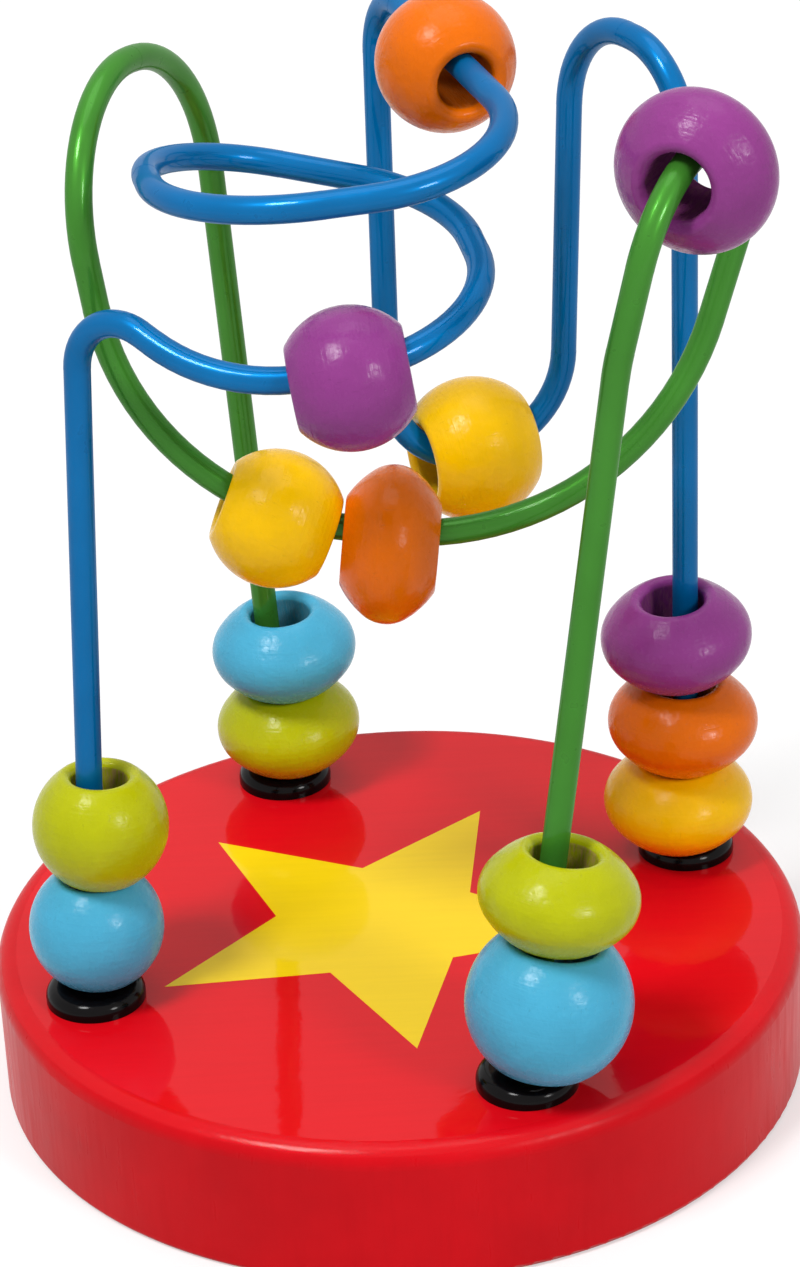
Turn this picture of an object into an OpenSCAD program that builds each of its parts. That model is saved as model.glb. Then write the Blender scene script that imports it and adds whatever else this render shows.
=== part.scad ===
// Bead maze: two bent wires stand in a round wooden base and carry fifteen wooden beads.
// Sizes are in millimetres, +Z is up and the origin is the centre of the base's underside.
// The front of the toy faces -Y.

/* [Base] */
// width of the round base
base_d = 120; // [116:1:140]
// height of the base
base_h = 22; // [20:1:30]
// rounding of the upper edge
base_top_round = 3; // [1:0.5:6]
// rounding of the lower edge
base_bottom_round = 1; // [0.5:0.5:3]

/* [Bushes] */
// distance of the four bushes from the rim of the base
bush_inset = 12.5; // [11:0.5:15]
// turn of the right bush from the X axis, the others follow every quarter turn
bush_turn = 21; // [15:1:27]
// width of the collar that shows on the base
collar_d = 14.5; // [12:0.5:17]
// height of the collar
collar_h = 2.7; // [2:0.1:5]
// rounding of the collar's upper edge
collar_round = 1.9; // [0.5:0.1:2]
// width of the spigot that sits in the base
spigot_d = 8; // [7:0.5:10]
// length of the spigot
spigot_h = 9; // [5:1:12]

/* [Wires] */
// thickness of both wires
wire_d = 3.8; // [3.2:0.1:4.4]
// depth of the wire ends below the top of the base
wire_depth = 16; // [14:1:18]
// bend radius where an upright wire end starts to lean
foot_bend = 8; // [5:1:15]
// smallest bend radius of the dip in the blue wire
dip_least_r = 12; // [12:0.5:14]

/* [Beads] */
// width of a small round bead
small_d = 19.5; // [18:0.5:21]
// bore of a small round bead
small_bore = 8; // [7.5:0.1:9]
// width of the middle round bead in the blue dip
middle_d = 21.5; // [20:0.5:23]
// bore of the middle round bead
middle_bore = 10.6; // [10:0.1:12]
// width of the large round bead at the front
large_d = 23.5; // [22:0.5:25]
// bore of the large round bead
large_bore = 11; // [10:0.1:12]
// width of a flat bead
flat_d = 22.4; // [21:0.2:24]
// height of a flat bead over its poles, before it is drilled
flat_crown = 16.6; // [15:0.2:18]
// bore of a flat bead
flat_bore = 9.2; // [8.5:0.1:10]
// radius of a flat bead's round edge
flat_edge = 5.2; // [4:0.2:6]
// rounding of the rims of every bore
rim_round = 1.2; // [0.4:0.1:1.6]

/* [Clearances] */
// gap between a bead and what it rests on
seat_gap = 0.3; // [0.2:0.1:0.6]
// gap between a wire and the side of the bore that lies against it
hang_gap = 0.3; // [0.2:0.1:0.6]
// gap between the two beads in the green valley, measured along the wire
pair_gap = 1.3; // [1:0.1:2]
// distance by which these two beads lie to the left of the end of the valley's left bend
pair_shift = 2; // [0:0.5:4]
// room left beside the ends of the bore of the bead in the blue dip
dip_room = 1; // [0.8:0.1:1.2]
// gap all round a bush in the base
bush_fit = 0.05; // [0.02:0.01:0.1]
// gap all round a wire end in its bush and in the base
wire_fit = 0.1; // [0.05:0.01:0.2]
// gap below a wire end and below a spigot
floor_gap = 0.3; // [0.2:0.1:1]

/* [Hidden] */
$fn = 48;

red = [0.85, 0.08, 0.12];
black = [0.05, 0.04, 0.04];
blue = [0.02, 0.42, 0.75];
green = [0.25, 0.6, 0.2];
purple = [0.6, 0.27, 0.6];
orange = [0.93, 0.45, 0.05];
yellow = [0.97, 0.8, 0.03];
lime = [0.77, 0.83, 0.2];
sky = [0.36, 0.7, 0.84];

// width of the circle on which the bushes stand
bush_circle_d = base_d - 2 * bush_inset;
// quarter turns of the bushes
right = 0;
back = 1;
left = 2;
front = 3;

// straight runs are this much slimmer than the bends and reach a little into them
run_step = 0.02;
run_lap = 0.3;
// round edges of a bead stand this much proud where they meet its flanks
blend = 0.01;

// Bead kinds: width, height over the poles, edge radius and bore
small_bead = [small_d, small_d, 0, small_bore];
middle_bead = [middle_d, middle_d, 0, middle_bore];
large_bead = [large_d, large_d, 0, large_bore];
flat_bead = [flat_d, flat_crown, flat_edge, flat_bore];

// the dip is bent wide enough for the bore of the bead that hangs in it
dip_r = max(dip_least_r, rim_y(middle_bead) + rim_round + hang_gap + wire_d / 2 + dip_room);

// Bend tables: X, Y, height above the base and bend radius of each corner
blue_bends = [
    [-39, -11, 109, 8],   // top of the left leg
    [-20, -26, 99, 27],   // low run in front
    [20, -26, 104, 20],   // loop, right front
    [12, 13, 110, 16],    // loop, right back
    [-32, 15, 120, 18],   // loop, left back
    [-25, -29, 124, 23],  // loop, left front
    [27, -27, 128, 19],   // second turn, right front
    [3, 39, 133, 8],      // top of the drop
    [2, 24, 60, dip_r],   // dip, left
    [28, 34, 65, 14],     // dip, right
    [31, 37, 128, 14],    // arch, left
    [45, 12, 128, 12]     // arch, right
];
green_bends = [
    [-23, 40, 126, 26],   // left arch, back
    [-41, -2, 133, 21],   // left arch, front
    [-33, -6, 73, 39],    // valley, left
    [36, -10, 64, 42],    // valley, right
    [58, 4, 128, 16],     // right arch, back
    [38, -33, 128, 14],   // right arch, front
    [32, -35, 104, 41]    // top of the front leg
];

// bends that carry a bead, counted along the wire from its first end
loop_bend = 4;
top_run = 8;
dip_bend = 10;
valley_left_bend = 4;
valley_right_bend = 5;
arch_bend = 7;

// turn along its bend at which a single bead hangs
loop_turn = 3;
dip_turn = 97;
arch_turn = 0;

// Wires as corner rows: X, Y, Z and bend radius
function foot(quarter, z, r) = [
    bush_circle_d / 2 * cos(bush_turn + 90 * quarter),
    bush_circle_d / 2 * sin(bush_turn + 90 * quarter), z, r
];
function lift(rows) = [for (row = rows) [row[0], row[1], row[2] + base_h, row[3]]];
function route(first, rows, last) = concat(
    [foot(first, base_h - wire_depth, 0), foot(first, base_h + collar_h, foot_bend)],
    lift(rows),
    [foot(last, base_h + collar_h, foot_bend), foot(last, base_h - wire_depth, 0)]
);
blue_wire = route(left, blue_bends, right);
green_wire = route(back, green_bends, front);

function unit(v) = v / norm(v);
function corner(wire, i) = [wire[i][0], wire[i][1], wire[i][2]];
function heading(wire, i) = unit(corner(wire, i + 1) - corner(wire, i));
function bend_angle(wire, i) = acos(heading(wire, i - 1) * heading(wire, i));
function inner(wire, i) = i > 0 && i < len(wire) - 1;
function cut(wire, i) = inner(wire, i) ? wire[i][3] * tan(bend_angle(wire, i) / 2) : 0;
function run_length(wire, i) =
    norm(corner(wire, i + 1) - corner(wire, i)) - cut(wire, i) - cut(wire, i + 1);
function bend_centre(wire, i) = corner(wire, i)
    + unit(heading(wire, i) - heading(wire, i - 1)) * wire[i][3] / cos(bend_angle(wire, i) / 2);
function bend_start(wire, i) =
    unit(corner(wire, i) - heading(wire, i - 1) * cut(wire, i) - bend_centre(wire, i));
function outward(wire, i, turn) =
    cos(turn) * bend_start(wire, i) + sin(turn) * heading(wire, i - 1);
function along(wire, i, turn) =
    cos(turn) * heading(wire, i - 1) - sin(turn) * bend_start(wire, i);
function down_from(dir) = unit([0, 0, -1] + dir[2] * dir);

// a flat bead has flanks of a larger radius, struck from points beyond its middle
function flank_drop(kind) = kind[2] == 0 ? 0
    : (pow(kind[0] / 2 - kind[2], 2) - pow(kind[1] / 2 - kind[2], 2)) / (kind[1] - 2 * kind[2]);
function flank_r(kind) = kind[1] / 2 + flank_drop(kind);
function rim_x(kind) = kind[3] / 2 + rim_round;
function rim_y(kind) = sqrt(pow(flank_r(kind) - rim_round, 2) - pow(rim_x(kind), 2)) - flank_drop(kind);
function crest(kind) = rim_x(kind) * flank_r(kind) / (flank_r(kind) - rim_round);
function knee(kind) = kind[2] == 0 ? kind[0]
    : (kind[0] / 2 - kind[2]) * flank_r(kind) / (flank_r(kind) - kind[2]);
function half_length(kind) = rim_y(kind) + rim_round;
function play(kind) = (kind[3] - wire_d) / 2 - hang_gap;
// on a bend the rims of the bore take up part of the play
function sag(kind, radius) = radius + play(kind) - rim_x(kind)
    - sqrt(pow(radius - wire_d / 2 - hang_gap - rim_round, 2) - pow(rim_y(kind), 2));

// Stacks on the legs, from the base up: kind, side to which the bead lies, share of its play, tip
left_stack = [[small_bead, 60, 0.5, 0], [small_bead, 30, 0.9, 0]];
right_stack = [[flat_bead, 230, 0.8, 0], [flat_bead, 250, 0.6, 0], [flat_bead, 210, 0.9, 5]];
back_stack = [[flat_bead, 0, 0.6, 0], [flat_bead, 0, 0.9, 0]];
front_stack = [[large_bead, 320, 0.7, 0], [flat_bead, 310, 0.8, 0]];

// a leg runs up from its collar, from the first or from the last end of its wire
function leg_foot(wire, last) = corner(wire, last ? len(wire) - 2 : 1);
function leg_dir(wire, last) = last ? -heading(wire, len(wire) - 3) : heading(wire, 1);
function tip_room(entry) = crest(entry[0]) * sin(entry[3]);
function stack_floor(stack, i, lean) = i == 0
    ? (seat_gap + crest(stack[0][0]) * sin(lean)) / cos(lean) + tip_room(stack[0])
    : stack_floor(stack, i - 1, lean) + 2 * half_length(stack[i - 1][0]) + seat_gap
        + tip_room(stack[i - 1]) + tip_room(stack[i]);

// Placing
module frame_at(x, y, z, at)
    multmatrix([
        [x[0], y[0], z[0], at[0]],
        [x[1], y[1], z[1], at[1]],
        [x[2], y[2], z[2], at[2]],
        [0, 0, 0, 1]
    ])
    children();

module point_along(dir, side, at) {
    x = unit(side - (side * dir) * dir);
    frame_at(x, cross(dir, x), dir, at)
    children();
}

module at_bush(quarter)
    rotate(bush_turn + 90 * quarter)
    translate([bush_circle_d / 2, 0, 0])
    children();

// Turned pieces
module round_disc(d, h, top, bottom)
    rotate_extrude() {
        square([d / 2 - top, h]);
        translate([0, bottom]) square([d / 2, h - top - bottom]);
        square([d / 2 - bottom, h / 2]);
        translate([d / 2 - top, h - top]) circle(top);
        translate([d / 2 - bottom, bottom]) circle(bottom);
    }

module bush() {
    difference() {
        union() {
            translate([0, 0, bush_fit])
            rotate_extrude() {
                square([collar_d / 2 - collar_round, collar_h - bush_fit]);
                square([collar_d / 2, collar_h - bush_fit - collar_round]);
                translate([collar_d / 2 - collar_round, collar_h - bush_fit - collar_round])
                intersection() {
                    circle(collar_round);
                    square(collar_round);
                }
            }
            translate([0, 0, -spigot_h]) cylinder(d = spigot_d, h = spigot_h + collar_h / 2);
        }
        translate([0, 0, -spigot_h - 1])
        cylinder(d = wire_d + 2 * wire_fit, h = spigot_h + collar_h + 2);
    }
}

module bead(kind) {
    reach = kind[0];
    rotate_extrude() {
        intersection() {
            translate([0, -flank_drop(kind)]) circle(flank_r(kind));
            translate([0, flank_drop(kind)]) circle(flank_r(kind));
            translate([crest(kind), -reach]) square([knee(kind) - crest(kind), 2 * reach]);
        }
        if (kind[2] > 0) {
            intersection() {
                translate([kind[0] / 2 - kind[2], 0]) circle(kind[2] + blend);
                translate([crest(kind), -reach]) square([reach, 2 * reach]);
            }
        }
        translate([kind[3] / 2, -rim_y(kind)])
        square([2 * rim_round, 2 * rim_y(kind)]);
        for (end = [-1, 1]) {
            translate([rim_x(kind), end * rim_y(kind)]) circle(rim_round + blend);
        }
    }
}

// Wires
module straight(wire, i) {
    dir = heading(wire, i);
    start = cut(wire, i) - (inner(wire, i) ? run_lap : 0);
    stop = cut(wire, i + 1) - (inner(wire, i + 1) ? run_lap : 0);
    side = abs(dir[2]) > 0.9 ? [1, 0, 0] : [0, 0, 1];
    point_along(dir, side, corner(wire, i) + dir * start)
    cylinder(d = wire_d - 2 * run_step, h = norm(corner(wire, i + 1) - corner(wire, i)) - start - stop);
}

module bend(wire, i) {
    x = bend_start(wire, i);
    y = heading(wire, i - 1);
    frame_at(x, y, cross(x, y), bend_centre(wire, i))
    rotate_extrude(angle = bend_angle(wire, i))
    translate([wire[i][3], 0])
    circle(d = wire_d);
}

module bent_wire(wire) {
    for (i = [0 : len(wire) - 2]) {
        straight(wire, i);
    }
    for (i = [1 : len(wire) - 2]) {
        bend(wire, i);
    }
}

// Beads on their wires
module on_leg(wire, last, stack, i) {
    kind = stack[i][0];
    tip = stack[i][3];
    dir = leg_dir(wire, last);
    lean = acos(dir[2]);
    side = [cos(stack[i][1]), sin(stack[i][1]), 0];
    lie = unit(side - (side * dir) * dir);
    shift = stack[i][2] * (play(kind) - half_length(kind) * sin(tip));
    height = stack_floor(stack, i, lean) + half_length(kind);
    point_along(dir, side, leg_foot(wire, last) + dir * height + lie * shift)
    rotate([0, tip, 0])
    bead(kind);
}

module on_run(wire, i, kind) {
    dir = heading(wire, i);
    middle = corner(wire, i) + dir * (cut(wire, i) + run_length(wire, i) / 2);
    point_along(dir, [0, 0, 1], middle + down_from(dir) * play(kind))
    bead(kind);
}

// a bead hangs as low as its bore and the curve of the wire inside it allow
module on_bend(wire, i, turn, kind) {
    dir = along(wire, i, turn);
    out = outward(wire, i, turn);
    down = down_from(dir);
    radius = wire[i][3];
    loss = sag(kind, radius);
    inward = -out * down;
    limit = loss / 2 / play(kind);
    sideways = sqrt(pow(play(kind), 2) - pow(loss / 2, 2)) * unit(down + inward * out) - out * loss / 2;
    shift = inward >= limit ? play(kind) * down
        : inward <= -limit ? play(kind) * down - loss * out
        : sideways;
    point_along(dir, [0, 0, 1], bend_centre(wire, i) + radius * out + shift)
    bead(kind);
}

// the two beads in the valley hang side by side near the end of its left bend
function left_pair_turn() = bend_angle(green_wire, valley_left_bend)
    - (half_length(small_bead) + pair_gap / 2 + pair_shift) / green_wire[valley_left_bend][3] * 180 / PI;
function right_pair_turn() =
    (half_length(flat_bead) + pair_gap / 2 - pair_shift - run_length(green_wire, valley_left_bend))
    / green_wire[valley_right_bend][3] * 180 / PI;

module base()
    color(red)
    difference() {
        round_disc(base_d, base_h, base_top_round, base_bottom_round);
        for (quarter = [right, back, left, front]) {
            at_bush(quarter) {
                translate([0, 0, base_h - spigot_h - floor_gap])
                cylinder(d = spigot_d + 2 * bush_fit, h = spigot_h + floor_gap + 1);
                translate([0, 0, base_h - wire_depth - floor_gap])
                cylinder(d = wire_d + 2 * wire_fit, h = wire_depth + floor_gap + 1);
            }
        }
    }

module bush_right() color(black) at_bush(right) translate([0, 0, base_h]) bush();
module bush_back() color(black) at_bush(back) translate([0, 0, base_h]) bush();
module bush_left() color(black) at_bush(left) translate([0, 0, base_h]) bush();
module bush_front() color(black) at_bush(front) translate([0, 0, base_h]) bush();

module wire_blue() color(blue) bent_wire(blue_wire);
module wire_green() color(green) bent_wire(green_wire);

module bead_left_1() color(sky) on_leg(blue_wire, false, left_stack, 0);
module bead_left_2() color(lime) on_leg(blue_wire, false, left_stack, 1);
module bead_right_1() color(yellow) on_leg(blue_wire, true, right_stack, 0);
module bead_right_2() color(orange) on_leg(blue_wire, true, right_stack, 1);
module bead_right_3() color(purple) on_leg(blue_wire, true, right_stack, 2);
module bead_back_1() color(lime) on_leg(green_wire, false, back_stack, 0);
module bead_back_2() color(sky) on_leg(green_wire, false, back_stack, 1);
module bead_front_1() color(sky) on_leg(green_wire, true, front_stack, 0);
module bead_front_2() color(lime) on_leg(green_wire, true, front_stack, 1);

module bead_loop() color(purple) on_bend(blue_wire, loop_bend, loop_turn, small_bead);
module bead_top() color(orange) on_run(blue_wire, top_run, small_bead);
module bead_dip() color(yellow) on_bend(blue_wire, dip_bend, dip_turn, middle_bead);
module bead_valley_1() color(yellow) on_bend(green_wire, valley_left_bend, left_pair_turn(), small_bead);
module bead_valley_2() color(orange) on_bend(green_wire, valley_right_bend, right_pair_turn(), flat_bead);
module bead_arch() color(purple) on_bend(green_wire, arch_bend, arch_turn, flat_bead);

base();
bush_right();
bush_back();
bush_left();
bush_front();
wire_blue();
wire_green();
bead_left_1();
bead_left_2();
bead_right_1();
bead_right_2();
bead_right_3();
bead_back_1();
bead_back_2();
bead_front_1();
bead_front_2();
bead_loop();
bead_top();
bead_dip();
bead_valley_1();
bead_valley_2();
bead_arch();
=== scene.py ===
"""Bead maze: paint, enamel, lacquer, print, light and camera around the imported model.

Lengths are in metres in the model's own frame: +Z is up, the front faces -Y and the origin is the
centre of the base's underside. Sizes written with MM are millimetres.
"""

import math
import random

import bpy
import numpy as np
from mathutils import Matrix, Vector

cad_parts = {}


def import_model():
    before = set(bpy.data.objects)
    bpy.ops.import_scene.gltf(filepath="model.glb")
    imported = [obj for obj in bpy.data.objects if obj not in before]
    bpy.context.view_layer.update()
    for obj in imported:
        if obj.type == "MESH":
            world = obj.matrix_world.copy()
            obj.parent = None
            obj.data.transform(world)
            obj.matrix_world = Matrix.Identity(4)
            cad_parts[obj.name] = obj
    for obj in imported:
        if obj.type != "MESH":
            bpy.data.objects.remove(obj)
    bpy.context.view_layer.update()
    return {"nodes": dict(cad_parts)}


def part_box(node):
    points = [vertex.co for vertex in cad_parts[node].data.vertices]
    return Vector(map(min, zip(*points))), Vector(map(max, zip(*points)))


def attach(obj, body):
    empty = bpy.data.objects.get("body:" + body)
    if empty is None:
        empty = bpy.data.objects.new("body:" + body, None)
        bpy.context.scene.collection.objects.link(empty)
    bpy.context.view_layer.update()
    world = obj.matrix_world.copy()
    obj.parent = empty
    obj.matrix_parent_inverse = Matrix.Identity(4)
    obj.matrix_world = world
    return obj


MM = 0.001

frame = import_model()
nodes = frame["nodes"]

# Camera, found from the base's outline in the photograph
IMAGE_HEIGHT_PX = 1267
FOCAL_PX = 4000
SENSOR_MM = 36
CAMERA_PLACE = Vector((2.3, -508.4, 337.2)) * MM
CAMERA_PITCH = math.radians(27.71)
CAMERA_ROLL = math.radians(-2.78)

# Lamps: place, diameter and power in watts
LAMPS = {
    "key": ((-0.54, -0.495, 1.385), 0.39, 13.5),
    "fill": ((0.93, -0.99, 0.785), 0.36, 7.65),
    "top": ((0.075, 0.225, 1.46), 1.05, 4.95),
}
LAMP_TARGET = (0, 0, 0.08)

# World strength as a light on the object and as seen by the camera
WORLD_LIGHT = 0.36
WORLD_SEEN = 1.0

# Floor: half its side, its grey, and the glow that whitens it over a range of distances
FLOOR_HALF = 3.0
FLOOR_GREY = 0.55
FLOOR_REACH = (0.25, 1.5)
FLOOR_GLOW = (0.46, 0.82)

# Colours as seen on screen, 0 to 255
PAINTS = {
    "red": (222, 10, 24),
    "yellow": (246, 192, 0),
    "orange": (228, 107, 0),
    "purple": (141, 58, 133),
    "lime": (180, 184, 8),
    "sky": (74, 170, 206),
    "blue": (0, 106, 168),
    "green": (64, 133, 44),
    "black": (8, 6, 7),
    "print": (250, 212, 20),
}
BEAD_PAINTS = {
    "bead_left_1": "sky",
    "bead_left_2": "lime",
    "bead_right_1": "yellow",
    "bead_right_2": "orange",
    "bead_right_3": "purple",
    "bead_back_1": "lime",
    "bead_back_2": "sky",
    "bead_front_1": "sky",
    "bead_front_2": "lime",
    "bead_loop": "purple",
    "bead_top": "orange",
    "bead_dip": "yellow",
    "bead_valley_1": "yellow",
    "bead_valley_2": "orange",
    "bead_arch": "purple",
}

# Linear colour of the wood in the bores, and the share of it that shows
RAW_WOOD = (0.48, 0.29, 0.13, 1.0)
BARE_BORES = {"lime": 0.9}
BARE_ELSEWHERE = 0.15

# Lathe coordinates are moved at random by up to this many millimetres, so that no two beads share a grain
GRAIN_ROOM = 500

# Faces up to this many millimetres outside a bead's least radius belong to its bore
BORE_MARGIN = 0.12

# Range in which the values of a noise texture mostly lie
NOISE_SPAN = (0.3, 0.7)

# Print on the base: a plain star
STAR_POINTS = 5
STAR_OUTER = 35 * MM
STAR_INNER = 15.5 * MM
STAR_TURN = math.radians(62)
STAR_CENTRE = Vector((-3, 0, 0)) * MM
FILM = 0.03 * MM

# Radius of the base's rounded edge, and the relief that breaks up the highlight on it
EDGE_ROUND = 3 * MM
EDGE_RAGGED = 0.07 * MM

# Upright share of a normal from which a face has lacquer, and from which it counts as flat
EDGE_UPRIGHT = 0.62
FLAT_UPRIGHT = 0.999

RANDOM_SEED = 7


def linear(paint, shade=1.0):
    """Linear colour of a paint, lightened or darkened by a factor."""
    channels = []
    for value in PAINTS[paint]:
        s = value / 255
        lin = s / 12.92 if s <= 0.04045 else ((s + 0.055) / 1.055) ** 2.4
        channels.append(min(1.0, lin * shade))
    return (*channels, 1.0)


# Node helpers
def new_material(name):
    """A material with its node tree and its shader."""
    material = bpy.data.materials.new(name)
    material.use_nodes = True
    tree = material.node_tree
    return material, tree, tree.nodes["Principled BSDF"]


def set_inputs(node, values):
    """Sets constant values on a node's own sockets."""
    for name, value in values.items():
        node.inputs[name].default_value = value


def add_node(tree, kind, links=None, values=None):
    """Adds a node; links maps its inputs to sockets, values maps them to constants."""
    node = tree.nodes.new(kind)
    set_inputs(node, values or {})
    for name, socket in (links or {}).items():
        tree.links.new(socket, node.inputs[name])
    return node


def math_node(tree, operation, first, second):
    """Result of an operation on two sockets."""
    node = tree.nodes.new("ShaderNodeMath")
    node.operation = operation
    tree.links.new(first, node.inputs[0])
    tree.links.new(second, node.inputs[1])
    return node.outputs[0]


def lathe_coords(tree):
    """A bead's own coordinates in millimetres, with Z along its bore."""
    node = tree.nodes.new("ShaderNodeAttribute")
    node.attribute_name = "lathe"
    return node.outputs["Vector"]


def object_coords(tree):
    """Coordinates in metres in the model's frame."""
    return tree.nodes.new("ShaderNodeTexCoord").outputs["Object"]


def stretched(tree, source, scale):
    """Coordinates with each axis multiplied."""
    return add_node(tree, "ShaderNodeMapping", {"Vector": source}, {"Scale": scale}).outputs["Vector"]


def noise(tree, coords, scale, detail=3.0, roughness=0.55):
    """Noise texture with a number of octaves and their falloff."""
    values = {"Scale": scale, "Detail": detail, "Roughness": roughness}
    return add_node(tree, "ShaderNodeTexNoise", {"Vector": coords}, values).outputs["Fac"]


def remap(tree, source, span, result):
    """Carries one range of values over to another, clamped at its ends."""
    values = {"From Min": span[0], "From Max": span[1], "To Min": result[0], "To Max": result[1]}
    return add_node(tree, "ShaderNodeMapRange", {"Value": source}, values).outputs["Result"]


def mix_colour(tree, factor, first, second):
    """Blend of two colours, each a constant or a socket."""
    node = tree.nodes.new("ShaderNodeMix")
    node.data_type = "RGBA"
    tree.links.new(factor, node.inputs["Factor"])
    for socket, value in ((node.inputs[6], first), (node.inputs[7], second)):
        if isinstance(value, tuple):
            socket.default_value = value
        else:
            tree.links.new(value, socket)
    return node.outputs[2]


def bump(tree, height, distance, strength, normal=None):
    """Normal of a surface with relief, laid over an earlier relief where one is given."""
    links = {"Height": height}
    if normal is not None:
        links["Normal"] = normal
    values = {"Distance": distance, "Strength": strength}
    return add_node(tree, "ShaderNodeBump", links, values).outputs["Normal"]


def dress_shader(tree, shader, links, constants):
    """Links sockets to a shader's inputs and sets its constants."""
    for name, socket in links.items():
        tree.links.new(socket, shader.inputs[name])
    set_inputs(shader, constants)


# Materials
def bead_paint(paint):
    """Thin satin paint on turned wood: pores along the bore, lathe rings and an uneven skin."""
    material, tree, shader = new_material("paint_" + paint)
    lathe = lathe_coords(tree)
    pores = noise(tree, stretched(tree, lathe, (1, 1, 0.09)), scale=2.2, detail=2, roughness=0.6)
    skin = noise(tree, lathe, scale=1.2, detail=2, roughness=0.5)
    cloud = noise(tree, lathe, scale=0.2)
    rings = noise(tree, stretched(tree, lathe, (0.03, 0.03, 1)), scale=2.4, roughness=0.6)
    clouded = remap(tree, cloud, NOISE_SPAN, (0, 1))
    tone = mix_colour(tree, clouded, linear(paint, 0.95), linear(paint, 1.04))
    stain = remap(tree, pores, (0.66, 0.8), (0, 0.4))
    pits = remap(tree, pores, (0.64, 0.8), (1, 0))
    relief = bump(tree, pits, distance=0.06 * MM, strength=0.5)
    relief = bump(tree, skin, distance=0.09 * MM, strength=0.5, normal=relief)
    relief = bump(tree, rings, distance=0.1 * MM, strength=0.45, normal=relief)
    relief = bump(tree, cloud, distance=0.9 * MM, strength=0.3, normal=relief)
    links = {
        "Base Color": mix_colour(tree, stain, tone, linear(paint, 0.6)),
        "Roughness": remap(tree, skin, NOISE_SPAN, (0.16, 0.32)),
        "Normal": relief,
    }
    dress_shader(tree, shader, links, {"Specular IOR Level": 0.16})
    return material


def bore_paint_with_painted_shade(paint, bare):
    """Matt paint inside a bead, darkened as painted shade in the bore, with raw drilled wood showing
    through by the share given as bare.
    """
    material, tree, shader = new_material("bore_" + paint)
    coords = stretched(tree, lathe_coords(tree), (1, 1, 0.2))
    grain = noise(tree, coords, scale=2.4, detail=5, roughness=0.7)
    cover = remap(tree, grain, (0.36, 0.6), (1 - bare, 1))
    links = {
        # Painted shade: the paint in the bore is darkened to 0.8, on top of the real shade the bore casts
        "Base Color": mix_colour(tree, cover, RAW_WOOD, linear(paint, 0.8)),
        "Normal": bump(tree, grain, distance=0.2 * MM, strength=0.8),
    }
    dress_shader(tree, shader, links, {"Roughness": 0.75, "Specular IOR Level": 0.0})
    return material


def lacquer(name, paint, shade=1.0, coat_weight=0.5, ragged=0.0):
    """Paint under clear lacquer with faint waves; ragged roughens it where it runs over an edge, and a
    shade below 1 darkens the paint as painted shade.
    """
    material, tree, shader = new_material(name)
    coords = object_coords(tree)
    grain = noise(tree, stretched(tree, coords, (60, 900, 900)), scale=1.0, detail=4, roughness=0.6)
    waves = noise(tree, coords, scale=90, detail=2)
    peel = noise(tree, coords, scale=900, detail=2)
    coat = bump(tree, peel, distance=0.03 * MM, strength=0.25)
    coat = bump(tree, waves, distance=0.4 * MM, strength=0.16, normal=coat)
    if ragged > 0:
        crumbs = noise(tree, coords, scale=1800, detail=4, roughness=0.65)
        coat = bump(tree, crumbs, distance=ragged, strength=0.6, normal=coat)
    links = {
        "Base Color": mix_colour(tree, grain, linear(paint, 0.95 * shade), linear(paint, 1.05 * shade)),
        "Coat Normal": coat,
    }
    constants = {
        "Roughness": 0.5,
        "Specular IOR Level": 0.0,
        "Coat Weight": coat_weight,
        "Coat Roughness": 0.05,
        "Coat IOR": 1.45,
    }
    dress_shader(tree, shader, links, constants)
    return material


def base_side_paint_with_painted_shade():
    """Brushed satin paint on the side of the base: faint upright strokes and uneven gloss, with its red
    darkened as painted shade on the side.
    """
    material, tree, shader = new_material("base_side_paint_with_painted_shade")
    coords = object_coords(tree)
    strokes = noise(tree, stretched(tree, coords, (700, 700, 60)), scale=1.0, detail=4, roughness=0.6)
    cloud = noise(tree, coords, scale=60)
    skin = noise(tree, coords, scale=1500)
    clouded = remap(tree, cloud, NOISE_SPAN, (0, 1))
    # Painted shade: the side's red runs from 0.8 to 0.94 of the paint, darker than the top's 0.95 to 1.05
    tone = mix_colour(tree, clouded, linear("red", 0.8), linear("red", 0.94))
    stain = remap(tree, strokes, (0.5, 0.8), (0, 0.4))
    relief = bump(tree, strokes, distance=0.05 * MM, strength=0.3)
    relief = bump(tree, skin, distance=0.05 * MM, strength=0.3, normal=relief)
    links = {
        "Base Color": mix_colour(tree, stain, tone, linear("red", 0.78)),
        "Roughness": remap(tree, strokes, NOISE_SPAN, (0.26, 0.42)),
        "Normal": relief,
    }
    dress_shader(tree, shader, links, {"Specular IOR Level": 0.1})
    return material


def wire_enamel(paint):
    """Clear coloured enamel on a steel wire: it tints the steel's highlights, under a thin gloss."""
    material, tree, shader = new_material("enamel_" + paint)
    coords = object_coords(tree)
    cloud = remap(tree, noise(tree, coords, scale=60, detail=2), NOISE_SPAN, (0, 1))
    ripple = noise(tree, coords, scale=420, detail=2)
    links = {
        "Base Color": mix_colour(tree, cloud, linear(paint, 0.88), linear(paint, 1.08)),
        "Roughness": remap(tree, ripple, NOISE_SPAN, (0.27, 0.37)),
        "Normal": bump(tree, ripple, distance=0.05 * MM, strength=0.35),
    }
    constants = {
        "Specular IOR Level": 0.0,
        "Metallic": 0.28,
        "Coat Weight": 0.24,
        "Coat Roughness": 0.06,
    }
    dress_shader(tree, shader, links, constants)
    return material


def bush_plastic():
    """Glossy black moulded plastic."""
    material, tree, shader = new_material("bush_plastic")
    dust = noise(tree, object_coords(tree), scale=700)
    links = {
        "Base Color": mix_colour(tree, dust, linear("black", 0.8), linear("black", 1.4)),
        "Roughness": remap(tree, dust, NOISE_SPAN, (0.08, 0.16)),
    }
    dress_shader(tree, shader, links, {"Specular IOR Level": 0.12})
    return material


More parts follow.
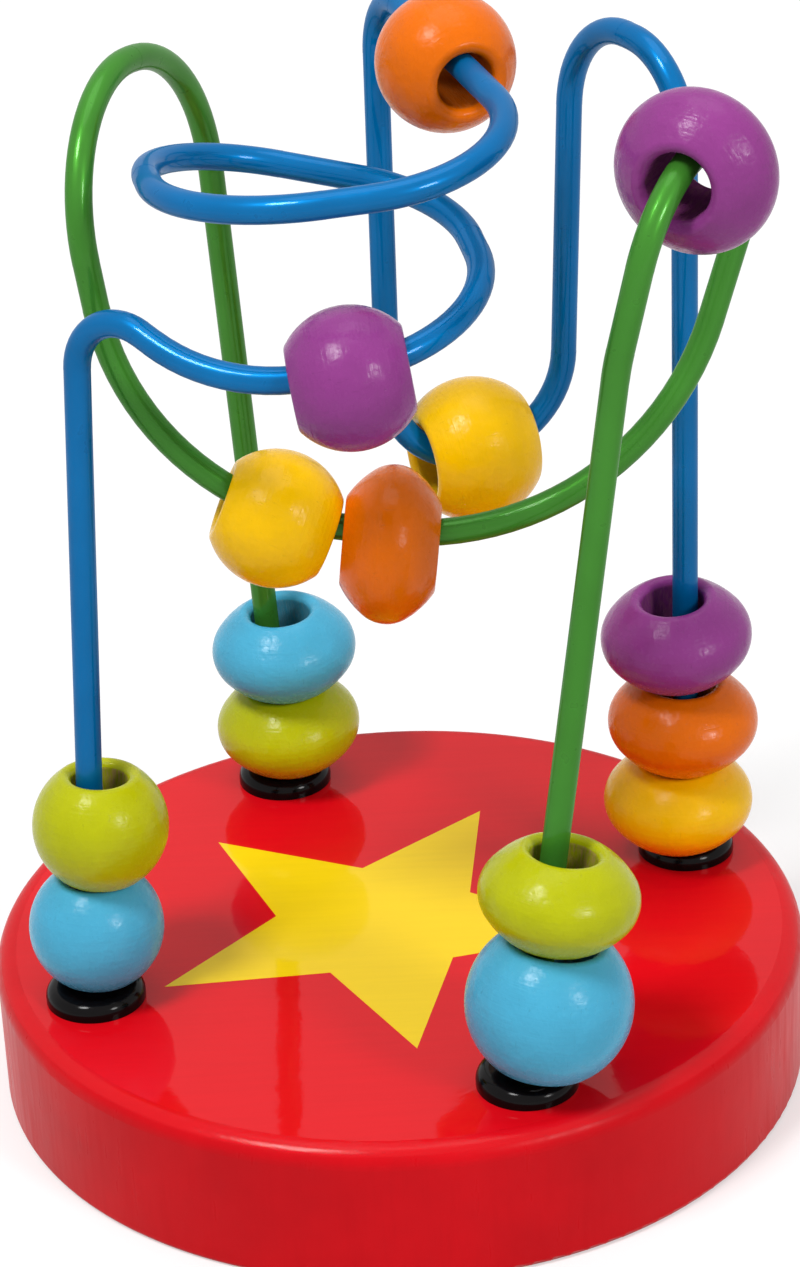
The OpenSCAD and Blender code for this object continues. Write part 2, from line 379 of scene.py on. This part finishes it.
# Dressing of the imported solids
def turning_axis(mesh, centre):
    """Axis of a turned piece: the odd one of its three second moments of area."""
    moment = np.zeros((3, 3))
    for polygon in mesh.polygons:
        arm = np.array(polygon.center) - centre
        moment += polygon.area * np.outer(arm, arm)
    spread, axes = np.linalg.eigh(moment)
    odd = 0 if spread[1] - spread[0] > spread[2] - spread[1] else 2
    return axes[:, odd]


def set_materials(mesh, materials):
    """Gives a mesh these materials and no others."""
    mesh.materials.clear()
    for material in materials:
        mesh.materials.append(material)


def dress_bead(name, outside, inside):
    """Gives a bead its paints and its own lathe coordinates in millimetres."""
    mesh = nodes[name].data
    low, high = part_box(name)
    centre = np.array((low + high) / 2)
    axis = turning_axis(mesh, centre)
    across = (1, 0, 0) if abs(axis[0]) < 0.7 else (0, 1, 0)
    side = np.cross(axis, across)
    side /= np.linalg.norm(side)
    local = np.stack([side, np.cross(axis, side), axis])
    points = np.array([vertex.co for vertex in mesh.vertices])
    offset = np.array([random.uniform(0, GRAIN_ROOM) for _ in range(3)])
    places = (points - centre) @ local.T / MM
    attribute = mesh.attributes.new("lathe", "FLOAT_VECTOR", "POINT")
    attribute.data.foreach_set("vector", (places + offset).astype(np.float32).ravel())
    set_materials(mesh, (outside, inside))
    radii = np.hypot(places[:, 0], places[:, 1])
    wall = radii.min() + BORE_MARGIN
    for polygon in mesh.polygons:
        polygon.material_index = int(max(radii[i] for i in polygon.vertices) < wall)


def dress(name, material):
    """Gives a node one material."""
    set_materials(nodes[name].data, (material,))


def dress_base(top_material, edge_material, side_material):
    """Lacquer on the flat top and the upper part of the rounded edge, paint on the rest."""
    mesh = nodes["base"].data
    set_materials(mesh, (side_material, edge_material, top_material))
    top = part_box("base")[1].z
    for polygon in mesh.polygons:
        upright = polygon.normal.z
        lacquered = polygon.center.z > top - EDGE_ROUND and upright > EDGE_UPRIGHT
        flat = lacquered and upright > FLAT_UPRIGHT
        polygon.material_index = int(lacquered) + int(flat)


# Print
def star_print(material):
    """A five-pointed star, thin as paint, on the top of the base."""
    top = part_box("base")[1].z
    outline = []
    for i in range(2 * STAR_POINTS):
        radius = STAR_OUTER if i % 2 == 0 else STAR_INNER
        turn = STAR_TURN + i * math.pi / STAR_POINTS
        outline.append(STAR_CENTRE + radius * Vector((math.cos(turn), math.sin(turn), 0)))
    count = len(outline)
    low = [(p.x, p.y, top) for p in outline]
    high = [(p.x, p.y, top + FILM) for p in outline]
    middle = [(STAR_CENTRE.x, STAR_CENTRE.y, top + FILM)]
    faces = [(i, (i + 1) % count, count + (i + 1) % count, count + i) for i in range(count)]
    faces += [(2 * count, count + i, count + (i + 1) % count) for i in range(count)]
    mesh = bpy.data.meshes.new("star_print")
    mesh.from_pydata(low + high + middle, [], faces)
    mesh.materials.append(material)
    star = bpy.data.objects.new("star_print", mesh)
    bpy.context.scene.collection.objects.link(star)
    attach(star, "frame")


# Stage
def seen_directly(tree):
    """1 for what the camera sees, straight or through gloss or glass, and 0 for light on the object."""
    path = tree.nodes.new("ShaderNodeLightPath")
    seen = path.outputs["Is Camera Ray"]
    for name in ("Is Glossy Ray", "Is Transmission Ray"):
        seen = math_node(tree, "MAXIMUM", seen, path.outputs[name])
    return seen


def floor():
    """A plain pale floor that is white for the camera and keeps the object's shadow."""
    mesh = bpy.data.meshes.new("floor")
    signs = ((-1, -1), (1, -1), (1, 1), (-1, 1))
    mesh.from_pydata([(x * FLOOR_HALF, y * FLOOR_HALF, 0) for x, y in signs], [], [(0, 1, 2, 3)])
    plane = bpy.data.objects.new("floor", mesh)
    bpy.context.scene.collection.objects.link(plane)
    material, tree, shader = new_material("floor_white")
    reach = add_node(tree, "ShaderNodeVectorMath", {"Vector": object_coords(tree)})
    reach.operation = "LENGTH"
    glow = remap(tree, reach.outputs["Value"], FLOOR_REACH, FLOOR_GLOW)
    links = {"Emission Strength": math_node(tree, "MULTIPLY", glow, seen_directly(tree))}
    constants = {
        "Base Color": (FLOOR_GREY, FLOOR_GREY, FLOOR_GREY, 1),
        "Roughness": 0.9,
        "Specular IOR Level": 0.0,
        "Emission Color": (1, 1, 1, 1),
    }
    dress_shader(tree, shader, links, constants)
    mesh.materials.append(material)


def world():
    """White for the camera and for reflections, softer as a light."""
    studio = bpy.data.worlds.new("studio")
    bpy.context.scene.world = studio
    studio.use_nodes = True
    tree = studio.node_tree
    background = tree.nodes["Background"]
    strength = remap(tree, seen_directly(tree), (0, 1), (WORLD_LIGHT, WORLD_SEEN))
    tree.links.new(strength, background.inputs["Strength"])
    set_inputs(background, {"Color": (1, 1, 1, 1)})


def softbox(name, place, size, watts):
    """A round lamp that faces the middle of the object."""
    lamp = bpy.data.lights.new(name, "AREA")
    lamp.shape = "DISK"
    lamp.size = size
    lamp.energy = watts
    box = bpy.data.objects.new(name, lamp)
    bpy.context.scene.collection.objects.link(box)
    box.location = place
    aim = Vector(LAMP_TARGET) - Vector(place)
    box.rotation_euler = aim.to_track_quat("-Z", "Y").to_euler()


def camera():
    """The photograph's camera."""
    data = bpy.data.cameras.new("camera")
    data.sensor_fit = "VERTICAL"
    data.sensor_height = SENSOR_MM
    data.lens = FOCAL_PX / IMAGE_HEIGHT_PX * SENSOR_MM
    eye = bpy.data.objects.new("camera", data)
    bpy.context.scene.collection.objects.link(eye)
    turn = Matrix.Rotation(math.pi / 2 - CAMERA_PITCH, 4, "X") @ Matrix.Rotation(CAMERA_ROLL, 4, "Z")
    eye.matrix_world = Matrix.Translation(CAMERA_PLACE) @ turn
    bpy.context.scene.camera = eye


random.seed(RANDOM_SEED)
used = sorted(set(BEAD_PAINTS.values()))
outer_paints = {paint: bead_paint(paint) for paint in used}
bore_paints_with_painted_shade = {paint: bore_paint_with_painted_shade(paint, BARE_BORES.get(paint, BARE_ELSEWHERE)) for paint in used}
for bead, paint in BEAD_PAINTS.items():
    dress_bead(bead, outer_paints[paint], bore_paints_with_painted_shade[paint])

top_lacquer = lacquer("base_lacquer", "red")
# Painted shade: the edge's red is darkened to 0.92 of the top's
edge_lacquer_with_painted_shade = lacquer("edge_lacquer_with_painted_shade", "red", shade=0.92, coat_weight=0.36, ragged=EDGE_RAGGED)
dress_base(top_lacquer, edge_lacquer_with_painted_shade, base_side_paint_with_painted_shade())
dress("wire_blue", wire_enamel("blue"))
dress("wire_green", wire_enamel("green"))
plastic = bush_plastic()
for place in ("right", "back", "left", "front"):
    dress("bush_" + place, plastic)
star_print(lacquer("print_yellow", "print"))

floor()
world()
for name, (place, size, watts) in LAMPS.items():
    softbox(name, place, size, watts)
camera()

bpy.context.scene.view_settings.view_transform = "Standard"
